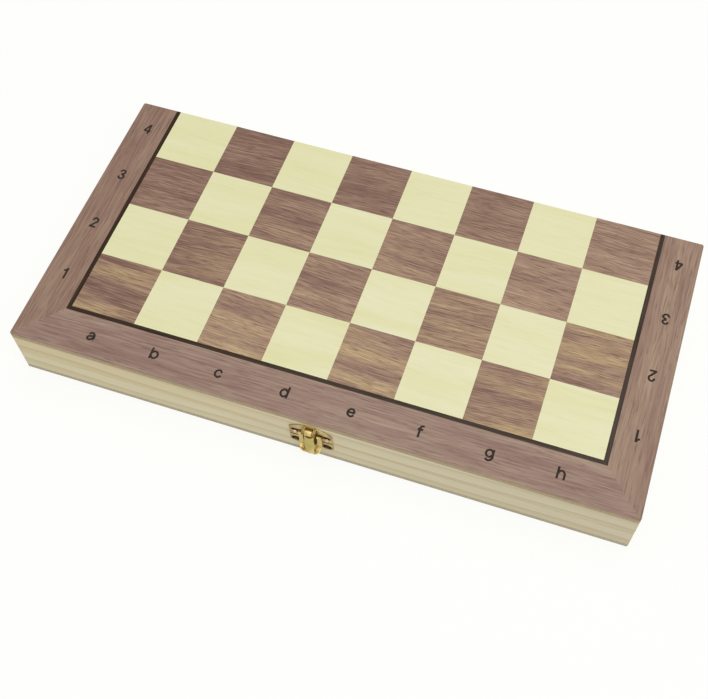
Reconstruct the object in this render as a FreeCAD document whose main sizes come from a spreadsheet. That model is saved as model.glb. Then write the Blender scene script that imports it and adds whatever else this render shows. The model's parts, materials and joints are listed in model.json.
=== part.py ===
import FreeCAD, Part
import os
import Sketcher

# A folding chess and backgammon board, closed, with half of the chess board on top. Millimetres.
# X runs along the hinge, the latch is at -Y, the hinge at +Y, and the board lies on z = 0.
# Both halves are the same tray. Each is drawn with its chess face down at z = 0 and its rim up,
# and the upper one is turned over about the Y direction, so that its left and right change places.

files = 8
ranks_per_half = 4
points_per_end = 6
same_place = 1e-4

driving_sizes = {
    # Chess face
    "square_size": 31.25,
    "side_border": 20.7,
    "front_border": 22.3,
    "line_width": 2.1,
    "veneer_thickness": 0.6,
    # Trays
    "panel_thickness": 2.3,
    "rail_height": 12.0,
    "rail_thickness": 7.0,
    "corner_lap": 3.0,
    "seam_gap": 0.2,
    "rail_round": 0.5,
    "veneer_round": 0.3,
    # Backgammon face
    "lining_thickness": 0.6,
    "point_gap": 46.0,
    # Butt hinges
    "hinge_inset": 55.0,
    "hinge_length": 24.0,
    "leaf_thickness": 0.8,
    "leaf_inset": 1.0,
    "barrel_diameter": 3.0,
    "hinge_pin_diameter": 1.5,
    "axis_offset": 0.15,
    "knuckle_gap": 0.15,
    "pin_clearance": 0.05,
    "mortise_clearance": 0.15,
    "swing_clearance": 0.3,
    "screw_diameter": 1.4,
    "screw_length": 8.0,
    "screw_head_diameter": 3.0,
    "screw_edge": 4.5,
    "slot_width": 0.5,
    "slot_depth": 0.3,
    "fit_clearance": 0.03,
    # Latch plates and their nails
    "plate_thickness": 0.5,
    "plate_width": 20.4,
    "latch_gap": 0.6,
    "latch_side": 6.3,
    "latch_arch": 4.2,
    "catch_gap": 0.5,
    "catch_side": 5.0,
    "catch_arch": 2.4,
    "nail_inset": 2.8,
    "latch_nail_rise": 2.6,
    "catch_nail_drop": 4.0,
    "nail_diameter": 1.0,
    "nail_length": 6.0,
    "nail_head_diameter": 2.2,
    "nail_head_height": 0.8,
    "dimple_diameter": 3.5,
    "dimple_depth": 0.3,
    # Latch barrel and tongue
    "latch_axis_rise": 9.1,
    "latch_barrel_diameter": 3.0,
    "latch_pin_diameter": 1.2,
    "latch_knuckle_length": 3.4,
    "ear_length": 1.2,
    "tongue_clearance": 0.3,
    "tongue_thickness": 0.8,
    "tongue_width": 11.0,
    "tongue_length": 13.5,
    "lip_width": 8.8,
    "lip_reach": 3.2,
    "bill_length": 17.0,
    "bill_root_width": 3.8,
    "bill_root_depth": 1.0,
    "bill_root_crown": 0.4,
    "brow_drop": 5.0,
    "brow_width": 4.8,
    "brow_depth": 2.4,
    "brow_crown": 1.2,
    "bill_tip_width": 5.4,
    "bill_tip_depth": 3.3,
    "bill_tip_crown": 1.5,
    "bill_wall": 0.7,
    "hook_width": 3.0,
    "hook_reach": 1.9,
    "hook_height": 2.2,
    "hook_clearance": 0.5,
}

doc = FreeCAD.newDocument("folding_board")
sizes = doc.addObject("Spreadsheet::Sheet", "sizes")
for row, (alias, size) in enumerate(driving_sizes.items(), start=1):
    sizes.set(f"A{row}", alias)
    sizes.set(f"B{row}", str(size))
    sizes.setAlias(f"B{row}", alias)
doc.recompute()

finished = []

# Places that several pieces share, as expressions on the sheet
half_width = f"({files} / 2 * sizes.square_size + sizes.side_border)"
half_depth = f"((sizes.front_border + {ranks_per_half} * sizes.square_size) / 2)"
rail_base = "(sizes.veneer_thickness + sizes.panel_thickness)"
half_height = f"({rail_base} + sizes.rail_height)"
seam = f"({half_height} + sizes.seam_gap / 2)"
closed_height = f"(2 * {seam})"
inner_half_width = f"({half_width} - sizes.rail_thickness)"
inner_half_depth = f"({half_depth} - sizes.rail_thickness)"
lap_half_depth = f"({half_depth} - sizes.corner_lap)"
field_half_width = f"({files} / 2 * sizes.square_size)"
field_front = f"(sizes.front_border - {half_depth})"
line_half_width = f"({field_half_width} + sizes.line_width)"
line_front = f"({field_front} - sizes.line_width)"

hinge_place = f"({half_width} - sizes.hinge_inset)"
barrel_radius = "(sizes.barrel_diameter / 2)"
hinge_axis = f"({half_depth} + sizes.axis_offset)"
leaf_inner = f"({inner_half_depth} + sizes.leaf_inset)"
leaf_outer = f"({hinge_axis} - {barrel_radius} - sizes.swing_clearance)"
leaf_seat = f"({half_height} - sizes.leaf_thickness)"
knuckle_length = "((sizes.hinge_length - 2 * sizes.knuckle_gap) / 3)"
screw_row = f"(({leaf_inner} + {leaf_outer}) / 2)"
screw_step = "(sizes.hinge_length / 2 - sizes.screw_edge)"

plate_face = f"(-{half_depth} - sizes.plate_thickness)"
nail_seat = f"({plate_face} + sizes.dimple_depth)"
nail_place = "(sizes.plate_width / 2 - sizes.nail_inset)"
latch_radius = "(sizes.latch_barrel_diameter / 2)"
tongue_back = f"({plate_face} - sizes.tongue_clearance)"
latch_axis_y = f"({tongue_back} - {latch_radius})"
latch_axis_z = f"({seam} + sizes.latch_axis_rise)"
tongue_top = f"({latch_axis_z} - {latch_radius} - sizes.tongue_clearance)"
tongue_foot = f"({latch_axis_z} - sizes.tongue_length)"
bill_brow = f"({latch_axis_z} - sizes.brow_drop)"
bill_tip = f"({latch_axis_z} - sizes.bill_length)"
latch_barrel_length = "(sizes.latch_knuckle_length + 2 * (sizes.knuckle_gap + sizes.ear_length))"
hook_base = f"({bill_tip} + sizes.bill_wall + sizes.hook_clearance)"

turned_over = FreeCAD.Rotation(FreeCAD.Vector(0, 1, 0), 180)
along_x = FreeCAD.Rotation(FreeCAD.Vector(0, 1, 0), 90)
towards_front = FreeCAD.Rotation(FreeCAD.Vector(1, 0, 0), 90)
towards_back = FreeCAD.Rotation(FreeCAD.Vector(1, 0, 0), -90)


def value(expression):
    return float(sizes.evalExpression(expression))


def keep(piece, label, half="lower"):
    piece.Label = label
    if half == "upper":
        piece.Placement = FreeCAD.Placement(FreeCAD.Vector(), turned_over)
        piece.setExpression("Placement.Base.z", closed_height)
    finished.append(piece)


def place(piece, x, y, z, rotation=FreeCAD.Rotation()):
    piece.Placement = FreeCAD.Placement(FreeCAD.Vector(), rotation)
    for axis, expression in zip("xyz", (x, y, z)):
        piece.setExpression(f"Placement.Base.{axis}", expression)


def box(name, x, y, z):
    block = doc.addObject("Part::Box", name)
    for side, (low, high) in zip(("Length", "Width", "Height"), (x, y, z)):
        block.setExpression(side, f"{high} - ({low})")
    place(block, x[0], y[0], z[0])
    return block


def cylinder(name, radius, length, x, y, z, rotation):
    rod = doc.addObject("Part::Cylinder", name)
    rod.setExpression("Radius", radius)
    rod.setExpression("Height", length)
    place(rod, x, y, z, rotation)
    return rod


def cone(name, base_radius, top_radius, length, x, y, z, rotation=FreeCAD.Rotation()):
    taper = doc.addObject("Part::Cone", name)
    taper.setExpression("Radius1", base_radius)
    taper.setExpression("Radius2", top_radius)
    taper.setExpression("Height", length)
    place(taper, x, y, z, rotation)
    return taper


def fuse(name, shapes):
    whole = doc.addObject("Part::MultiFuse", name)
    whole.Shapes = shapes
    return whole


def cut(name, base, tool):
    remainder = doc.addObject("Part::Cut", name)
    remainder.Base = base
    remainder.Tool = tool
    return remainder


def group(name, solids):
    together = doc.addObject("Part::Compound", name)
    together.Links = solids
    return together


# Sketches: every corner is dimensioned from the origin
def body_sketch(body, name, plane, offset):
    sketch = body.newObject("Sketcher::SketchObject", name)
    support = next(item for item in body.Origin.OriginFeatures if item.Role == plane)
    sketch.AttachmentSupport = [(support, "")]
    sketch.MapMode = "FlatFace"
    sketch.setExpression("AttachmentOffset.Base.z", offset)
    return sketch


def dimension(sketch, kind, edge, point, expression):
    if kind == "Radius":
        limit = Sketcher.Constraint(kind, edge, value(expression))
    else:
        limit = Sketcher.Constraint(kind, -1, 1, edge, point, value(expression))
    number = sketch.addConstraint(limit)
    sketch.setExpression(f"Constraints[{number}]", expression)


def outline(sketch, corners, arched_edge=None, crown=None, radius=None):
    first = sketch.GeometryCount
    count = len(corners)
    spots = [FreeCAD.Vector(value(across), value(along), 0) for across, along in corners]
    for index, spot in enumerate(spots):
        next_spot = spots[(index + 1) % count]
        if index == arched_edge:
            top = FreeCAD.Vector(value(crown[0]), value(crown[1]), 0)
            sketch.addGeometry(Part.Arc(spot, top, next_spot), False)
        else:
            sketch.addGeometry(Part.LineSegment(spot, next_spot), False)
    for index, (across, along) in enumerate(corners):
        edge = first + index
        next_edge = first + (index + 1) % count
        sketch.addConstraint(Sketcher.Constraint("Coincident", edge, 2, next_edge, 1))
        dimension(sketch, "DistanceX", edge, 1, across)
        dimension(sketch, "DistanceY", edge, 1, along)
    if arched_edge is not None:
        dimension(sketch, "Radius", first + arched_edge, 0, radius)


def circle(sketch, radius, across, along):
    centre = FreeCAD.Vector(value(across), value(along), 0)
    upward = FreeCAD.Vector(0, 0, 1)
    edge = sketch.addGeometry(Part.Circle(centre, upward, value(radius)), False)
    dimension(sketch, "Radius", edge, 0, radius)
    dimension(sketch, "DistanceX", edge, 3, across)
    dimension(sketch, "DistanceY", edge, 3, along)


def rectangle(x, y):
    return [(x[0], y[0]), (x[1], y[0]), (x[1], y[1]), (x[0], y[1])]


def pad(body, sketch, length):
    feature = body.newObject("PartDesign::Pad", f"{body.Name}_pad")
    feature.Profile = sketch
    feature.setExpression("Length", length)
    return feature


def pocket(body, sketch, depth):
    doc.recompute()
    before = body.Shape.Volume
    feature = body.newObject("PartDesign::Pocket", f"{body.Name}_pocket")
    feature.Profile = sketch
    feature.setExpression("Length", depth)
    doc.recompute()
    if not body.Shape.Volume < before:
        raise ValueError(f"{feature.Name} cuts nothing")


def sheet_piece(label, corners, bottom, thickness):
    body = doc.addObject("PartDesign::Body", label)
    sketch = body_sketch(body, f"{label}_sketch", "XY_Plane", bottom)
    outline(sketch, corners)
    pad(body, sketch, thickness)
    return body


def round_edges(body, radius, is_outer):
    doc.recompute()
    base = body.Tip
    edges = [f"Edge{n}" for n, edge in enumerate(base.Shape.Edges, start=1) if is_outer(edge)]
    feature = body.newObject("PartDesign::Fillet", f"{body.Name}_round")
    feature.Base = (base, edges)
    feature.setExpression("Radius", radius)


def lies_at(edge, axis, expression):
    bounds = edge.BoundBox
    low = getattr(bounds, f"{axis}Min")
    high = getattr(bounds, f"{axis}Max")
    level = value(expression)
    return max(abs(low - level), abs(high - level)) < same_place


def side_name(half, sign):
    seen_left = (sign < 0) == (half == "lower")
    return "left" if seen_left else "right"


# Rails: the front and back rails run the full width and lap over the ends of the end rails
def end_rail(half, sign):
    label = f"{half}_{side_name(half, sign)}_rail"
    outer = f"({sign} * {half_width})"
    inner = f"({sign} * {inner_half_width})"
    across = (outer, inner) if sign < 0 else (inner, outer)
    along = (f"-{lap_half_depth}", lap_half_depth)
    body = sheet_piece(label, rectangle(across, along), rail_base, "sizes.rail_height")
    round_edges(body, "sizes.rail_round",
                lambda edge: lies_at(edge, "X", outer) and lies_at(edge, "Z", half_height))
    keep(body, label, half)


def long_rail(label, sign):
    outer = f"({sign} * {half_depth})"
    lap = f"({sign} * {lap_half_depth})"
    inner = f"({sign} * {inner_half_depth})"
    left = [(f"-{half_width}", outer), (f"-{half_width}", lap),
            (f"-{inner_half_width}", lap), (f"-{inner_half_width}", inner)]
    right = [(inner_half_width, inner), (inner_half_width, lap), (half_width, lap), (half_width, outer)]
    turn = left + right if sign > 0 else (left + right)[::-1]
    body = sheet_piece(label, turn, rail_base, "sizes.rail_height")

    def is_outer(edge):
        at_end = lies_at(edge, "X", f"-{half_width}") or lies_at(edge, "X", half_width)
        at_side = lies_at(edge, "Y", outer)
        at_rim = lies_at(edge, "Z", half_height)
        return (at_end and (at_side or at_rim)) or (at_side and at_rim)

    round_edges(body, "sizes.rail_round", is_outer)
    return body


def front_rail(half, nail_offset):
    label = f"{half}_front_rail"
    body = long_rail(label, -1)
    holes = body_sketch(body, f"{label}_nail_holes", "XZ_Plane", half_depth)
    for sign in (-1, 1):
        circle(holes, "sizes.nail_diameter / 2 + sizes.fit_clearance",
               f"{sign} * {nail_place}", f"{seam} - {nail_offset}")
    nail_reach = "sizes.nail_length - sizes.plate_thickness + sizes.dimple_depth"
    pocket(body, holes, f"{nail_reach} + sizes.fit_clearance")
    keep(body, label, half)


def back_rail(half):
    label = f"{half}_back_rail"
    body = long_rail(label, 1)
    reach = "(sizes.hinge_length / 2 + sizes.mortise_clearance)"
    past_back = f"({half_depth} + sizes.swing_clearance)"
    mortises = body_sketch(body, f"{label}_leaf_mortises", "XY_Plane", half_height)
    notches = body_sketch(body, f"{label}_barrel_notches", "XY_Plane", half_height)
    pilots = body_sketch(body, f"{label}_screw_holes", "XY_Plane", half_height)
    for sign in (-1, 1):
        centre = f"{sign} * {hinge_place}"
        span = (f"({centre} - {reach})", f"({centre} + {reach})")
        outline(mortises, rectangle(span, (f"({leaf_inner} - sizes.mortise_clearance)", past_back)))
        outline(notches, rectangle(span, (leaf_outer, past_back)))
        for end in (-1, 1):
            circle(pilots, "sizes.screw_diameter / 2 + sizes.fit_clearance",
                   f"{centre} + {end} * {screw_step}", screw_row)
    pocket(body, mortises, "sizes.leaf_thickness")
    pocket(body, notches, f"{barrel_radius} - sizes.seam_gap / 2 + sizes.swing_clearance")
    pocket(body, pilots, "sizes.screw_length + sizes.fit_clearance")
    keep(body, label, half)


# Chess face: panel, mitred border, inlaid line and squares
def panel(half):
    label = f"{half}_panel"
    across = (f"-{half_width}", half_width)
    along = (f"-{half_depth}", half_depth)
    body = sheet_piece(label, rectangle(across, along), "sizes.veneer_thickness", "sizes.panel_thickness")
    keep(body, label, half)


def veneer_strips(half, kind, outer_x, outer_front, inner_x, inner_front):
    front = [(f"-{outer_x}", outer_front), (outer_x, outer_front),
             (inner_x, inner_front), (f"-{inner_x}", inner_front)]
    strip = sheet_piece(f"{half}_{kind}_front", front, "0", "sizes.veneer_thickness")
    strips = {strip: lambda edge: lies_at(edge, "Y", outer_front)}
    for sign in (-1, 1):
        outer = f"{sign} * {outer_x}"
        inner = f"{sign} * {inner_x}"
        side = [(outer, outer_front), (inner, inner_front), (inner, half_depth), (outer, half_depth)]
        turn = side if sign < 0 else side[::-1]
        strip = sheet_piece(f"{half}_{kind}_{side_name(half, sign)}", turn, "0", "sizes.veneer_thickness")
        strips[strip] = lambda edge, place=outer: lies_at(edge, "X", place)
    return strips


def border(half):
    strips = veneer_strips(half, "border", half_width, f"-{half_depth}", line_half_width, line_front)
    for strip, is_outer in strips.items():
        round_edges(strip, "sizes.veneer_round", lambda edge: is_outer(edge) and lies_at(edge, "Z", "0"))
        keep(strip, strip.Name, half)


def inlaid_line(half):
    for strip in veneer_strips(half, "line", line_half_width, line_front, field_half_width, field_front):
        keep(strip, strip.Name, half)


def squares(half):
    tones = {"dark": [], "light": []}
    for file in range(files):
        x = (f"(({file} - {files} / 2) * sizes.square_size)",
             f"(({file + 1} - {files} / 2) * sizes.square_size)")
        for rank in range(ranks_per_half):
            low = f"({field_front} + {ranks_per_half - 1 - rank} * sizes.square_size)"
            y = (low, f"({low} + sizes.square_size)")
            tone = "light" if (file + rank) % 2 else "dark"
            tones[tone].append(box(f"{half}_square_{file}_{rank}", x, y, ("0", "sizes.veneer_thickness")))
    for tone, boxes in tones.items():
        label = f"{half}_{tone}_squares"
        keep(group(label, boxes), label, half)


# Backgammon face: triangular points from both ends, let into a veneer field
def backgammon_face(half):
    base = f"(2 * {inner_half_depth} / {points_per_end})"
    edges = {-1: [], 1: []}
    triangles = {"dark": [], "light": []}
    for sign in (-1, 1):
        end = f"({sign} * {inner_half_width})"
        tip = f"({sign} * sizes.point_gap / 2)"
        for number in range(points_per_end):
            low = f"({number} * {base} - {inner_half_depth})"
            high = f"({number + 1} * {base} - {inner_half_depth})"
            middle = f"(({number} + 0.5) * {base} - {inner_half_depth})"
            edges[sign] += [(end, low), (tip, middle)]
            triangle = [(end, low), (tip, middle), (end, high)]
            tone = "dark" if (number % 2 == 0) == (sign < 0) else "light"
            triangles[tone].append(triangle if sign < 0 else triangle[::-1])
        edges[sign].append((end, inner_half_depth))
    label = f"{half}_lining"
    field = sheet_piece(label, edges[1] + edges[-1][::-1], rail_base, "sizes.lining_thickness")
    keep(field, label, half)
    for tone, corners in triangles.items():
        label = f"{half}_{tone}_points"
        points = [sheet_piece(f"{label}_{number}", triangle, rail_base, "sizes.lining_thickness")
                  for number, triangle in enumerate(corners)]
        keep(group(label, points), label, half)


# Butt hinges: the lower leaf has the two outer knuckles, the upper leaf the middle one
def hinge_leaf(half, sign):
    label = f"hinge_{side_name(half, sign)}_{half}_leaf"
    centre = f"{sign} * {hinge_place}"
    ends = (f"({centre} - sizes.hinge_length / 2)", f"({centre} + sizes.hinge_length / 2)")
    thickness = (leaf_seat, half_height)
    metal = [box(f"{label}_plate", ends, (leaf_inner, leaf_outer), thickness)]
    if half == "lower":
        knuckles = [(ends[0], f"({ends[0]} + {knuckle_length})"),
                    (f"({ends[1]} - {knuckle_length})", ends[1])]
    else:
        knuckles = [(f"({centre} - {knuckle_length} / 2)", f"({centre} + {knuckle_length} / 2)")]
    for number, span in enumerate(knuckles):
        metal.append(box(f"{label}_tab_{number}", span, (leaf_outer, hinge_axis), thickness))
        metal.append(cylinder(f"{label}_knuckle_{number}", barrel_radius, knuckle_length,
                              span[0], hinge_axis, seam, along_x))
    holes = [cylinder(f"{label}_bore", "sizes.hinge_pin_diameter / 2 + sizes.pin_clearance",
                      "sizes.hinge_length", ends[0], hinge_axis, seam, along_x)]
    for end in (-1, 1):
        holes.append(cone(f"{label}_countersink_{end + 1}",
                          "sizes.screw_diameter / 2 + sizes.fit_clearance",
                          "sizes.screw_head_diameter / 2 + sizes.fit_clearance",
                          "sizes.leaf_thickness", f"{centre} + {end} * {screw_step}", screw_row, leaf_seat))
    leaf = cut(label, fuse(f"{label}_metal", metal), fuse(f"{label}_holes", holes))
    keep(leaf, label, half)


def hinge_pin(sign):
    label = f"hinge_{side_name('lower', sign)}_pin"
    start = f"{sign} * {hinge_place} - sizes.hinge_length / 2"
    pin = cylinder(label, "sizes.hinge_pin_diameter / 2", "sizes.hinge_length",
                   start, hinge_axis, seam, along_x)
    keep(pin, label)


def hinge_screws(half):
    label = f"{half}_hinge_screws"
    screws = []
    for sign in (-1, 1):
        for end in (-1, 1):
            name = f"{label}_{len(screws)}"
            x = f"({sign} * {hinge_place} + {end} * {screw_step})"
            head = cone(f"{name}_head", "sizes.screw_diameter / 2", "sizes.screw_head_diameter / 2",
                        "sizes.leaf_thickness", x, screw_row, leaf_seat)
            shank = cylinder(f"{name}_shank", "sizes.screw_diameter / 2",
                             "sizes.screw_length - sizes.leaf_thickness",
                             x, screw_row, f"{half_height} - sizes.screw_length", FreeCAD.Rotation())
            slot = box(f"{name}_slot",
                       (f"({x} - sizes.screw_head_diameter)", f"({x} + sizes.screw_head_diameter)"),
                       (f"({screw_row} - sizes.slot_width / 2)", f"({screw_row} + sizes.slot_width / 2)"),
                       (f"({half_height} - sizes.slot_depth)", f"({half_height} + sizes.slot_depth)"))
            screws.append(cut(name, fuse(f"{name}_metal", [head, shank]), slot))
    keep(group(label, screws), label, half)


# Latch: an arched plate on each half, nailed to the front rails
def nailed_plate(label, gap, side, arch, sign):
    body = doc.addObject("PartDesign::Body", f"{label}_blank")
    sketch = body_sketch(body, f"{label}_sketch", "XZ_Plane", half_depth)
    left = f"-{sign} * sizes.plate_width / 2"
    right = f"{sign} * sizes.plate_width / 2"
    base = f"{seam} + {sign} * {gap}"
    shoulder = f"{base} + {sign} * {side}"
    corners = [(left, base), (right, base), (right, shoulder), (left, shoulder)]
    radius = f"(sizes.plate_width ^ 2 / 4 + {arch} ^ 2) / (2 * {arch})"
    outline(sketch, corners, 2, ("0", f"{shoulder} + {sign} * {arch}"), radius)
    pad(body, sketch, "sizes.plate_thickness")
    return body


def nail_holes(label, nail_height):
    holes = []
    for sign in (-1, 1):
        x = f"{sign} * {nail_place}"
        holes.append(cone(f"{label}_dimple_{sign + 1}", "sizes.dimple_diameter / 2",
                          "sizes.nail_head_diameter / 2 + sizes.fit_clearance", "sizes.dimple_depth",
                          x, plate_face, nail_height, towards_back))
        holes.append(cylinder(f"{label}_hole_{sign + 1}", "sizes.nail_diameter / 2 + sizes.fit_clearance",
                              "sizes.plate_thickness", x, plate_face, nail_height, towards_back))
    return holes


def nails(label, nail_height):
    pair = []
    for sign in (-1, 1):
        x = f"{sign} * {nail_place}"
        head = doc.addObject("Part::Ellipsoid", f"{label}_head_{sign + 1}")
        head.setExpression("Radius1", "sizes.nail_head_height")
        head.setExpression("Radius2", "sizes.nail_head_diameter / 2")
        head.setExpression("Radius3", "sizes.nail_head_diameter / 2")
        head.Angle1 = 0
        place(head, x, nail_seat, nail_height, towards_front)
        shank = cylinder(f"{label}_shank_{sign + 1}", "sizes.nail_diameter / 2", "sizes.nail_length",
                         x, nail_seat, nail_height, towards_back)
        pair.append(fuse(f"{label}_{sign + 1}", [head, shank]))
    keep(group(label, pair), label)


def latch_bore(name):
    return cylinder(name, "sizes.latch_pin_diameter / 2 + sizes.pin_clearance", latch_barrel_length,
                    f"-{latch_barrel_length} / 2", latch_axis_y, latch_axis_z, along_x)


def latch_plate():
    label = "latch_plate"
    metal = [nailed_plate(label, "sizes.latch_gap", "sizes.latch_side", "sizes.latch_arch", 1)]
    inner = "(sizes.latch_knuckle_length / 2 + sizes.knuckle_gap)"
    outer = f"({inner} + sizes.ear_length)"
    for sign in (-1, 1):
        span = (inner, outer) if sign > 0 else (f"-{outer}", f"-{inner}")
        metal.append(cylinder(f"{label}_ear_{sign + 1}", latch_radius, "sizes.ear_length",
                              span[0], latch_axis_y, latch_axis_z, along_x))
        metal.append(box(f"{label}_web_{sign + 1}", span, (latch_axis_y, plate_face),
                         (f"({latch_axis_z} - {latch_radius})", f"({latch_axis_z} + {latch_radius})")))
    holes = nail_holes(label, f"{seam} + sizes.latch_nail_rise")
    holes.append(latch_bore(f"{label}_bore"))
    keep(cut(label, fuse(f"{label}_metal", metal), fuse(f"{label}_holes", holes)), label)


def catch_plate():
    label = "catch_plate"
    blank = nailed_plate(label, "sizes.catch_gap", "sizes.catch_side", "sizes.catch_arch", -1)
    hook = box(f"{label}_hook", ("(-sizes.hook_width / 2)", "(sizes.hook_width / 2)"),
               (f"({plate_face} - sizes.hook_reach)", plate_face),
               (hook_base, f"({hook_base} + sizes.hook_height)"))
    holes = nail_holes(label, f"{seam} - sizes.catch_nail_drop")
    keep(cut(label, fuse(f"{label}_metal", [blank, hook]), fuse(f"{label}_holes", holes)), label)


def latch_pin():
    pin = cylinder("latch_pin", "sizes.latch_pin_diameter / 2", latch_barrel_length,
                   f"-{latch_barrel_length} / 2", latch_axis_y, latch_axis_z, along_x)
    keep(pin, "latch_pin")


# The bill is lofted through flat-backed sections with a crowned front
def bill_section(name, width, depth, crown, back, height):
    sketch = doc.addObject("Sketcher::SketchObject", name)
    sketch.setExpression("Placement.Base.z", height)
    left = f"-{width} / 2"
    right = f"{width} / 2"
    front = f"{tongue_back} - ({depth})"
    shoulder = f"{front} + {crown}"
    corners = [(right, back), (left, back), (left, shoulder), (right, shoulder)]
    radius = f"(({width}) ^ 2 / 4 + {crown} ^ 2) / (2 * {crown})"
    outline(sketch, corners, 2, ("0", front), radius)
    return sketch


def loft(name, sections):
    swept = doc.addObject("Part::Loft", name)
    swept.Sections = sections
    swept.Solid = True
    swept.Ruled = False
    return swept


# The lip is lofted from the flange's foot, forwards and down to the bill's tip
def lip_section(name, width, front, height):
    sketch = doc.addObject("Sketcher::SketchObject", name)
    sketch.setExpression("Placement.Base.z", height)
    across = (f"(-{width} / 2)", f"({width} / 2)")
    outline(sketch, rectangle(across, (front, f"({front} + sizes.tongue_thickness)")))
    return sketch


def latch_tongue():
    label = "latch_tongue"
    strap_front = f"({tongue_back} - sizes.tongue_thickness)"
    lip_front = f"({tongue_back} - sizes.lip_reach)"
    knuckle = ("(-sizes.latch_knuckle_length / 2)", "(sizes.latch_knuckle_length / 2)")
    metal = [
        cylinder(f"{label}_knuckle", latch_radius, "sizes.latch_knuckle_length",
                 knuckle[0], latch_axis_y, latch_axis_z, along_x),
        box(f"{label}_strap", knuckle, (strap_front, tongue_back), (tongue_top, latch_axis_z)),
        box(f"{label}_flange", ("(-sizes.tongue_width / 2)", "(sizes.tongue_width / 2)"),
            (strap_front, tongue_back), (tongue_foot, tongue_top)),
        loft(f"{label}_lip", [
            lip_section(f"{label}_lip_root", "sizes.tongue_width", strap_front, tongue_foot),
            lip_section(f"{label}_lip_edge", "sizes.lip_width", lip_front, bill_tip),
        ]),
        loft(f"{label}_bill", [
            bill_section(f"{label}_bill_root", "sizes.bill_root_width", "sizes.bill_root_depth",
                         "sizes.bill_root_crown", tongue_back, tongue_top),
            bill_section(f"{label}_bill_brow", "sizes.brow_width", "sizes.brow_depth",
                         "sizes.brow_crown", tongue_back, bill_brow),
            bill_section(f"{label}_bill_tip", "sizes.bill_tip_width", "sizes.bill_tip_depth",
                         "sizes.bill_tip_crown", tongue_back, bill_tip),
        ]),
    ]
    behind = f"({tongue_back} + sizes.tongue_clearance / 2)"
    hollow = loft(f"{label}_hollow", [
        bill_section(f"{label}_hollow_root", "(sizes.bill_root_width - 2 * sizes.bill_wall)",
                     "(sizes.bill_root_depth - sizes.bill_wall)", "(sizes.bill_root_crown / 2)",
                     behind, tongue_top),
        bill_section(f"{label}_hollow_brow", "(sizes.brow_width - 2 * sizes.bill_wall)",
                     "(sizes.brow_depth - sizes.bill_wall)", "(sizes.brow_crown - sizes.bill_wall)",
                     behind, bill_brow),
        bill_section(f"{label}_hollow_tip", "(sizes.bill_tip_width - 2 * sizes.bill_wall)",
                     "(sizes.bill_tip_depth - sizes.bill_wall)", "(sizes.bill_tip_crown - sizes.bill_wall)",
                     behind, f"{bill_tip} + sizes.bill_wall"),
    ])
    holes = fuse(f"{label}_holes", [hollow, latch_bore(f"{label}_bore")])
    keep(cut(label, fuse(f"{label}_metal", metal), holes), label)


for half in ("lower", "upper"):
    panel(half)
    border(half)
    inlaid_line(half)
    squares(half)
    backgammon_face(half)
    back_rail(half)
    hinge_screws(half)
    for sign in (-1, 1):
        end_rail(half, sign)
        hinge_leaf(half, sign)
front_rail("lower", "sizes.catch_nail_drop")
front_rail("upper", "sizes.latch_nail_rise")
for sign in (-1, 1):
    hinge_pin(sign)
latch_plate()
nails("latch_nails", f"{seam} + sizes.latch_nail_rise")
catch_plate()
nails("catch_nails", f"{seam} - sizes.catch_nail_drop")
latch_tongue()
latch_pin()
doc.recompute()

faulty = [item.Label for item in doc.Objects if "Invalid" in item.State or "Error" in item.State]
faulty += [piece.Label for piece in finished if piece.Shape.isNull() or not piece.Shape.isValid()]
if faulty:
    raise ValueError(f"not built: {faulty}")

os.makedirs("parts", exist_ok=True)
for piece in finished:
    piece.Shape.exportStep(f"parts/{piece.Label}.step")
    print(piece.Label, len(piece.Shape.Solids), round(piece.Shape.Volume, 2))
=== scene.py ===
import json
import math
import bpy
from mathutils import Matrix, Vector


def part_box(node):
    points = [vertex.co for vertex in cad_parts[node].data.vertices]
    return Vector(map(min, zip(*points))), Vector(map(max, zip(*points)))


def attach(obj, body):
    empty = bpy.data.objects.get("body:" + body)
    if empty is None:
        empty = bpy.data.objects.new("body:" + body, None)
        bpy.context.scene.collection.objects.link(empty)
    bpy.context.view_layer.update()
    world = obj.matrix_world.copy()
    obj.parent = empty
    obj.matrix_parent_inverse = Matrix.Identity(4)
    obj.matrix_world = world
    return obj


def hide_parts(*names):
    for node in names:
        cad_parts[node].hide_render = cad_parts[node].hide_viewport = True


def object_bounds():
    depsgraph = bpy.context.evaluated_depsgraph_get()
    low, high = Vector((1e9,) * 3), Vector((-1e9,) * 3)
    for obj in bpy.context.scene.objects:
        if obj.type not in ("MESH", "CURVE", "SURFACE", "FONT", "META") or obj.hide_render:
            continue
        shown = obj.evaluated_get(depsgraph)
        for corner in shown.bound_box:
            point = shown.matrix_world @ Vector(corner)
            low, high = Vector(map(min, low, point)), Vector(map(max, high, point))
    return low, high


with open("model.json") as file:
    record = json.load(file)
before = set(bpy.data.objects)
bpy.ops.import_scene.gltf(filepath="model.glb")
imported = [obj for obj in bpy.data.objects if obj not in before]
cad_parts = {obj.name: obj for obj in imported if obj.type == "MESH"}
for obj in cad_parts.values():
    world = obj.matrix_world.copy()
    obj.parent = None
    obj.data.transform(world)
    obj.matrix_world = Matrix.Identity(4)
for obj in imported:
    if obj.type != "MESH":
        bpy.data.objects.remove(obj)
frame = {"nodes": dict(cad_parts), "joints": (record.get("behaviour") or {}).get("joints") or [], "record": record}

# A closed folding chess and backgammon board. Metres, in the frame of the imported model.
mm = 0.001
nodes = frame["nodes"]
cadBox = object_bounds()
halves = {"lower": "lower_half", "upper": "upper_half"}
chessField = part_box("upper_dark_squares")
square = (chessField[1].x - chessField[0].x) / 8
print("frame loaded,", len(nodes), "nodes")


def linear(hexColour):
    channels = [int(hexColour[i:i + 2], 16) / 255 for i in (1, 3, 5)]
    return [*(c / 12.92 if c <= 0.04045 else ((c + 0.055) / 1.055) ** 2.4 for c in channels), 1.0]


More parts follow.
